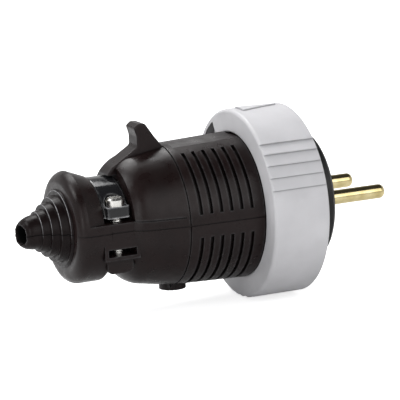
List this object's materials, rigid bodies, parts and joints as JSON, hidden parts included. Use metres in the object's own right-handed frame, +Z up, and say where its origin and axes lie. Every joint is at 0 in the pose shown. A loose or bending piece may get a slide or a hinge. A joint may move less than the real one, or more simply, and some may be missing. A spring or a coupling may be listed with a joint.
{
  "type": "earthed power plug with locking ring",
  "caption": "Black straight mains plug with round pins, an earth socket, a grey turning locking ring, a grooved two-part housing with a hook, a cable clamp and a stepped rubber gland.",
  "frame": {"origin": "centre of the pin carrier's front face, the face that meets the socket", "axes": "+X along the plug's axis towards the pin tips, +Z up towards the hook, Y across the two pins"},
  "size_m": [0.104, 0.052, 0.0524],
  "materials": {
    "housing_black": "moulded, satin",
    "clamp_black": "gloss",
    "ring_grey": "moulded, fine satin",
    "carrier_black": "moulded, satin",
    "gland_rubber": "matt rubber",
    "seal_rubber": "matt rubber",
    "contact_brass": "bright drawn brass",
    "screw_steel": "bright zinc-plated steel"
  },
  "bodies": {
    "plug": {"upper_shell": "housing_black", "lower_shell": "housing_black", "cable_gland": "gland_rubber", "clamp_bridge": "clamp_black", "near_clamp_screw": "screw_steel", "far_clamp_screw": "screw_steel", "near_clamp_nut": "screw_steel", "far_clamp_nut": "screw_steel", "case_screw": "screw_steel", "face_seal": "seal_rubber", "tail_seal": "seal_rubber", "pin_carrier": "carrier_black", "line_pin": "contact_brass", "neutral_pin": "contact_brass", "earth_contact": "contact_brass", "line_screw": "screw_steel", "neutral_screw": "screw_steel", "earth_screw": "screw_steel", "terminal_cover": "carrier_black", "cover_screw": "screw_steel"},
    "ring": {"locking_ring": "ring_grey"}
  },
  "joints": [
    {"name": "ring_turn", "type": "hinge", "parent": "plug", "child": "ring", "pos_m": [-0.0206, 0, 0], "axis": [1, 0, 0], "continuous": true}
  ]
}
